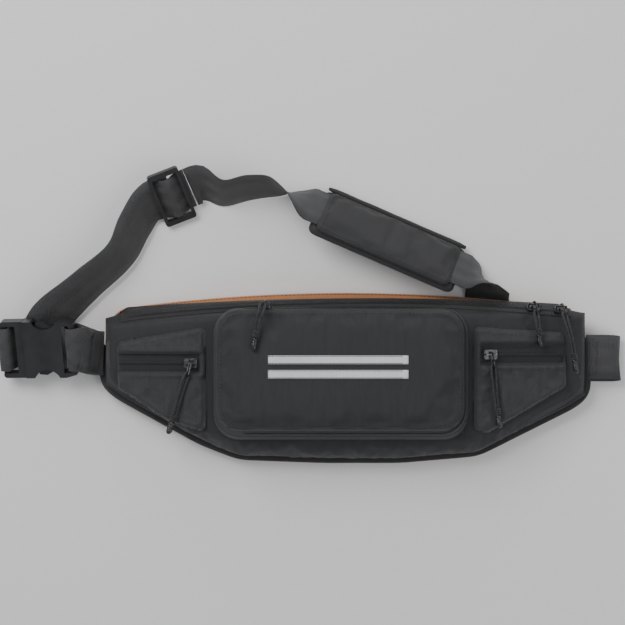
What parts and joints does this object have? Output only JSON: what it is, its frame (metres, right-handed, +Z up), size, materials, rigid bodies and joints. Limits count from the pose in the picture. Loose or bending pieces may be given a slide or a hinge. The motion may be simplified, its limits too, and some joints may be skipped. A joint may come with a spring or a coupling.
{
  "type": "sling waist pack",
  "caption": "Padded sling waist pack with zipped pockets, a side-release buckle and an adjustable webbing strap with a shoulder pad.",
  "frame": {"origin": "on the flat back face that the pack lies on, below the middle of the body's width between its two ends", "axes": "+X along the pack towards its right end, +Y across it towards the top zip and the strap, +Z up out of the front face"},
  "size_m": [0.5198, 0.2448, 0.0695],
  "materials": {
    "tan_fabric": "woven polyester, matt",
    "shell_fabric": "coated nylon, slight sheen",
    "lining_fabric": "thin plain weave",
    "foam": "open-cell foam, matt",
    "binding": "grosgrain, matt",
    "zipper_tape": "woven tape, matt",
    "zipper_coil": "nylon coil, satin",
    "reflective": "reflective tape, satin",
    "webbing": "woven nylon webbing, satin",
    "label": "plain woven label",
    "black_plastic": "moulded acetal, satin",
    "slider_metal": "black plated zinc, glossy",
    "pull_cord": "braided cord",
    "pull_end": "moulded, glossy",
    "pad_fabric": "brushed nylon over foam",
    "hook_and_loop": "hook and loop tape, fuzzy"
  },
  "bodies": {
    "bag": {"back_panel": "tan_fabric", "back_foam": "foam", "front_shell": "shell_fabric", "lining": "lining_fabric", "edge_binding": "binding", "top_zipper_tape": "zipper_tape", "top_zipper_coil": "zipper_coil", "centre_pocket_gusset": "shell_fabric", "centre_zipper_tape": "zipper_tape", "centre_zipper_coil": "zipper_coil", "centre_pocket_shell": "shell_fabric", "reflective_strip_upper": "reflective", "reflective_strip_lower": "reflective", "left_pocket_panel": "shell_fabric", "left_zipper_tape": "zipper_tape", "left_zipper_coil": "zipper_coil", "right_pocket_panel": "shell_fabric", "right_zipper_tape": "zipper_tape", "right_zipper_coil": "zipper_coil", "buckle_female": "black_plastic", "left_webbing_tab": "webbing", "woven_label": "label", "right_webbing_loop": "webbing", "strap_main": "webbing", "shoulder_pad": "pad_fabric", "pad_loop_strip": "hook_and_loop"},
    "pad_flap": {"pad_flap": "pad_fabric", "pad_hook_strip": "hook_and_loop"},
    "buckle_male": {"buckle_male": "black_plastic", "strap_adjust_loop": "webbing", "triglide": "black_plastic"},
    "release_arm_upper": {"release_arm_upper": "black_plastic"},
    "release_arm_lower": {"release_arm_lower": "black_plastic"},
    "top_slider_a": {"top_slider_a": "slider_metal"},
    "top_pull_a": {"top_pull_a_link": "slider_metal", "top_pull_a_cord": "pull_cord", "top_pull_a_end": "pull_end"},
    "top_slider_b": {"top_slider_b": "slider_metal"},
    "top_pull_b": {"top_pull_b_link": "slider_metal", "top_pull_b_cord": "pull_cord", "top_pull_b_end": "pull_end"},
    "centre_slider": {"centre_slider": "slider_metal"},
    "centre_pull": {"centre_pull_link": "slider_metal", "centre_pull_cord": "pull_cord", "centre_pull_end": "pull_end"},
    "left_slider": {"left_slider": "slider_metal"},
    "left_pull": {"left_pull_link": "slider_metal", "left_pull_cord": "pull_cord", "left_pull_end": "pull_end"},
    "right_slider": {"right_slider": "slider_metal"},
    "right_pull": {"right_pull_link": "slider_metal", "right_pull_cord": "pull_cord", "right_pull_end": "pull_end"}
  },
  "joints": [
    {"name": "pad_flap_hinge", "type": "hinge", "parent": "bag", "child": "pad_flap", "pos_m": [0.04385, 0.13076, 0.01013], "axis": [-0.9178, 0.3971, 0], "range_deg": [0, 120]},
    {"name": "buckle_pull_out", "type": "slide", "parent": "bag", "child": "buckle_male", "axis": [-0.996, -0.0174, -0.0872], "range_m": [0, 0.032]},
    {"name": "release_arm_upper_flex", "type": "hinge", "parent": "buckle_male", "child": "release_arm_upper", "pos_m": [-0.26428, 0.03374, 0.02354], "axis": [0.0775, 0.3104, -0.9474], "range_deg": [0, 16.1]},
    {"name": "release_arm_lower_flex", "type": "hinge", "parent": "buckle_male", "child": "release_arm_lower", "pos_m": [-0.26324, 0.01092, 0.01615], "axis": [-0.0775, -0.3104, 0.9474], "range_deg": [0, 16.1]},
    {"name": "top_slider_a_run", "type": "hinge", "parent": "bag", "child": "top_slider_a", "pos_m": [0.02, -0.969, -0.83376], "axis": [0, -0.6428, 0.766], "range_deg": [0, 8.2], "deforming": ["top_pull_a_cord", "top_pull_a_end"]},
    {"name": "top_slider_b_run", "type": "hinge", "parent": "bag", "child": "top_slider_b", "pos_m": [0.02, -0.969, -0.83376], "axis": [0, -0.6428, 0.766], "range_deg": [0, 0.3]},
    {"name": "centre_slider_run", "type": "slide", "parent": "bag", "child": "centre_slider", "axis": [1, 0, 0], "range_m": [0, 0.138]},
    {"name": "left_slider_run", "type": "slide", "parent": "bag", "child": "left_slider", "axis": [-0.9903, 0, -0.1392], "range_m": [0, 0.055]},
    {"name": "right_slider_run", "type": "slide", "parent": "bag", "child": "right_slider", "axis": [0.9903, 0, -0.1392], "range_m": [0, 0.055]},
    {"name": "top_pull_a_swing", "type": "hinge", "parent": "top_slider_a", "child": "top_pull_a", "pos_m": [0.15566, 0.05909, 0.02963], "axis": [-0.9949, 0.077, 0.0646], "range_deg": [0, 90]},
    {"name": "top_pull_b_swing", "type": "hinge", "parent": "top_slider_b", "child": "top_pull_b", "pos_m": [0.1786, 0.05716, 0.02801], "axis": [-0.9931, 0.09, 0.0756], "range_deg": [0, 90]},
    {"name": "centre_pull_swing", "type": "hinge", "parent": "centre_slider", "child": "centre_pull", "pos_m": [-0.0665, 0.0606, 0.05045], "axis": [-1, 0, 0], "range_deg": [0, 90]},
    {"name": "left_pull_swing", "type": "hinge", "parent": "left_slider", "child": "left_pull", "pos_m": [-0.12783, 0.0105, 0.04288], "axis": [-0.9903, 0, -0.1392], "range_deg": [0, 90]},
    {"name": "right_pull_swing", "type": "hinge", "parent": "right_slider", "child": "right_pull", "pos_m": [0.11935, 0.0175, 0.04309], "axis": [-0.9903, 0, 0.1392], "range_deg": [0, 90]}
  ],
  "couplings": [
    {"joint": "release_arm_upper_flex", "follows": "buckle_pull_out", "rad_per_m": 8.727},
    {"joint": "release_arm_lower_flex", "follows": "buckle_pull_out", "rad_per_m": 8.727}
  ]
}
